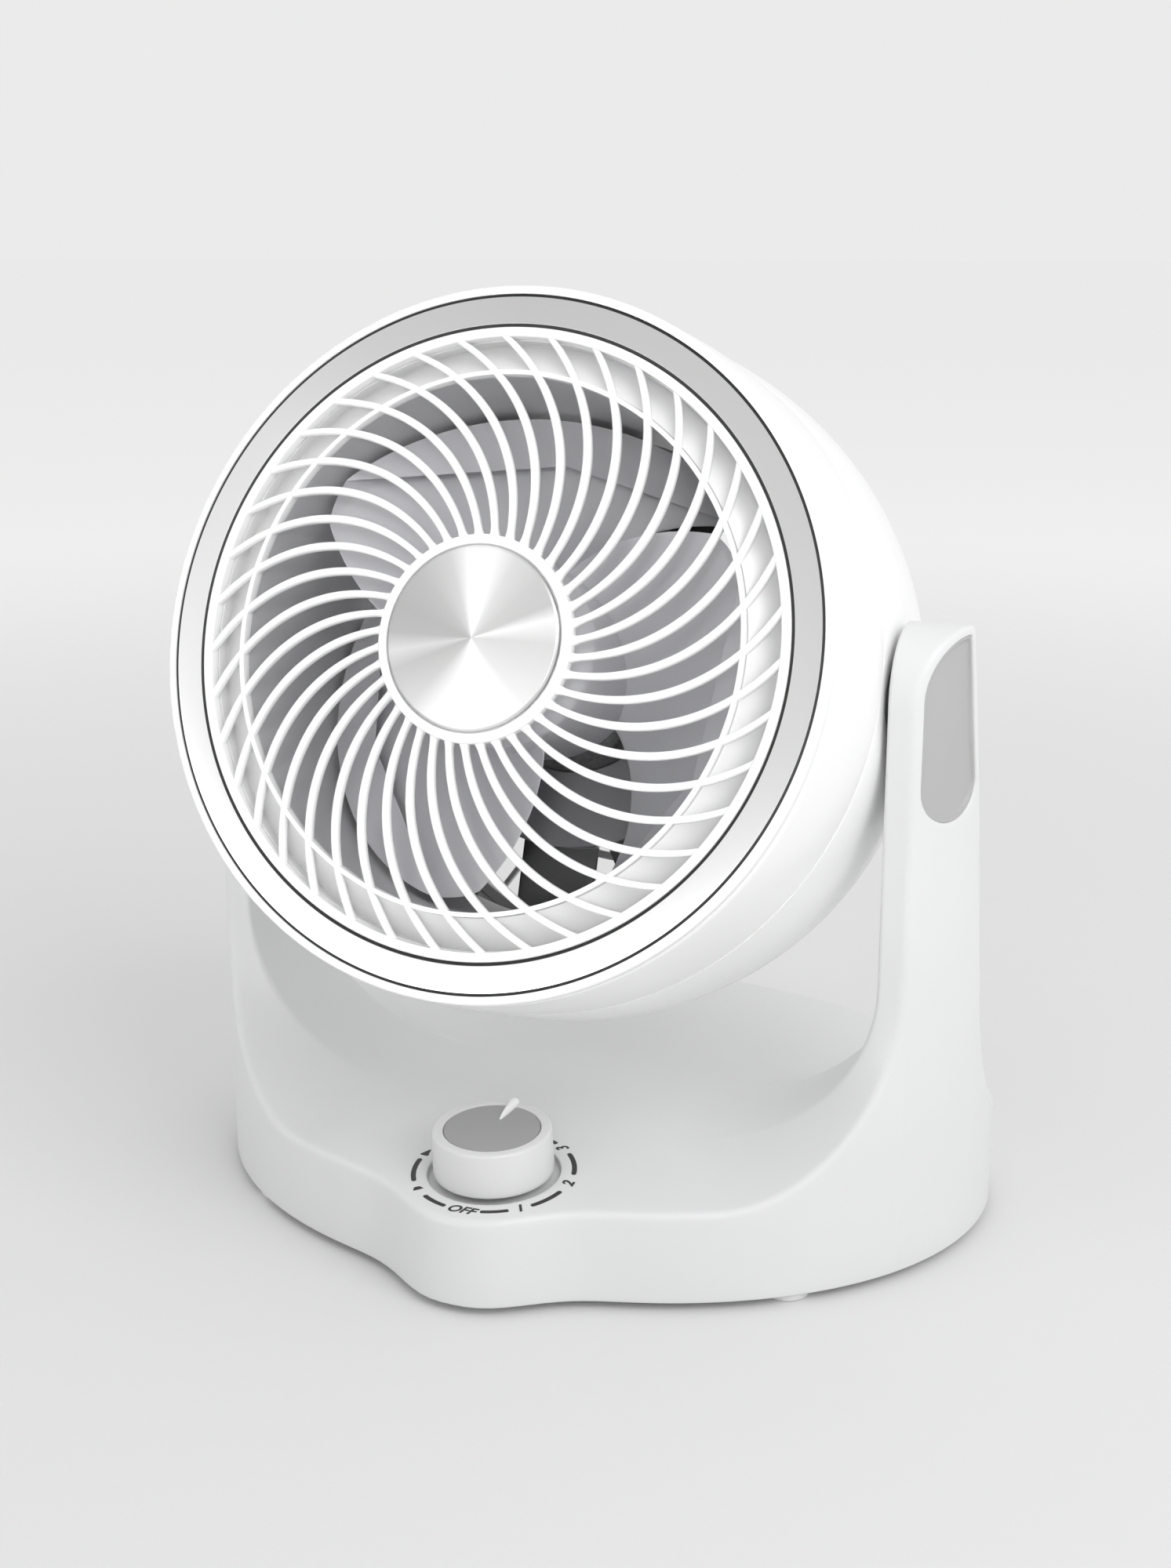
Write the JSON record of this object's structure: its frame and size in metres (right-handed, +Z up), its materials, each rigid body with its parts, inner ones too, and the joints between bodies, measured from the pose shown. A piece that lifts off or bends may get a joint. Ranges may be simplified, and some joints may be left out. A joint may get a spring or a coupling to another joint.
{
  "type": "air circulator fan",
  "caption": "Desk air circulator: a drum-shaped head with a spiral grille tilts between the arms of a U-shaped base with a speed knob.",
  "frame": {"origin": "on the ground, in the middle of the object's width and depth", "axes": "+Z up, +X to the right of someone who faces the fan, the air blows towards -Y"},
  "size_m": [0.298, 0.2453, 0.3303],
  "materials": {
    "white_gloss": "polished injection-moulded plastic",
    "white_satin": "fine satin moulded plastic",
    "grey_plastic": "satin moulded plastic",
    "cover_grey": "fine textured plastic",
    "insert_grey": "satin plastic",
    "dark_plastic": "moulded plastic",
    "foot_rubber": "soft pale rubber",
    "trim_chrome": "bright satin chrome plate",
    "spun_aluminium": "radially spun and lacquered",
    "steel": "zinc plated",
    "cast_aluminium": "as cast"
  },
  "bodies": {
    "base": {"base_shell": "white_satin", "bottom_plate": "white_satin", "foot_1": "foot_rubber", "foot_2": "foot_rubber", "foot_3": "foot_rubber", "foot_4": "foot_rubber", "base_screw_1": "steel", "base_screw_2": "steel", "base_screw_3": "steel", "base_screw_4": "steel", "speed_switch": "dark_plastic", "switch_nut": "steel", "capacitor": "dark_plastic", "terminal_block": "white_satin", "cord_inlet": "dark_plastic", "pivot_cover_left": "cover_grey", "pivot_cover_right": "cover_grey", "pivot_bushing_left": "dark_plastic", "pivot_bushing_right": "dark_plastic"},
    "knob": {"knob": "white_gloss", "knob_insert": "insert_grey", "switch_shaft": "steel"},
    "head": {"front_shell": "white_gloss", "lip_ring": "white_gloss", "trim_ring": "trim_chrome", "front_grille": "white_gloss", "hub_badge": "spun_aluminium", "rear_shell": "white_gloss", "rear_grille": "white_satin", "air_duct": "grey_plastic", "motor_bracket": "dark_plastic", "motor_front_cover": "cast_aluminium", "motor_rear_cover": "cast_aluminium", "stator": "steel", "bearing_front": "steel", "bearing_rear": "steel", "shell_screw_1": "steel", "shell_screw_2": "steel", "shell_screw_3": "steel", "shell_screw_4": "steel", "duct_screw_1": "steel", "duct_screw_2": "steel", "duct_screw_3": "steel", "duct_screw_4": "steel", "bracket_screw_1": "steel", "bracket_screw_2": "steel", "bracket_screw_3": "steel", "bracket_screw_4": "steel", "pivot_bolt_left": "steel", "pivot_bolt_right": "steel", "pivot_nut_left": "steel", "pivot_nut_right": "steel", "pivot_washer_left": "dark_plastic", "pivot_washer_right": "dark_plastic"},
    "rotor": {"impeller": "grey_plastic", "motor_shaft": "steel", "lock_nut": "steel", "rotor_core": "steel"}
  },
  "joints": [
    {"name": "head_tilt", "type": "hinge", "parent": "base", "child": "head", "pos_m": [0, -0.02299, 0.2006], "axis": [-1, 0, 0], "range_deg": [-18.5, 71.5]},
    {"name": "fan_spin", "type": "hinge", "parent": "head", "child": "rotor", "pos_m": [0, -0.08653, 0.22186], "axis": [0, -0.9483, 0.3173], "continuous": true},
    {"name": "knob_turn", "type": "hinge", "parent": "base", "child": "knob", "pos_m": [0, -0.08149, 0.03686], "axis": [0, -0.0729, 0.9973], "range_deg": [0, 140]}
  ]
}
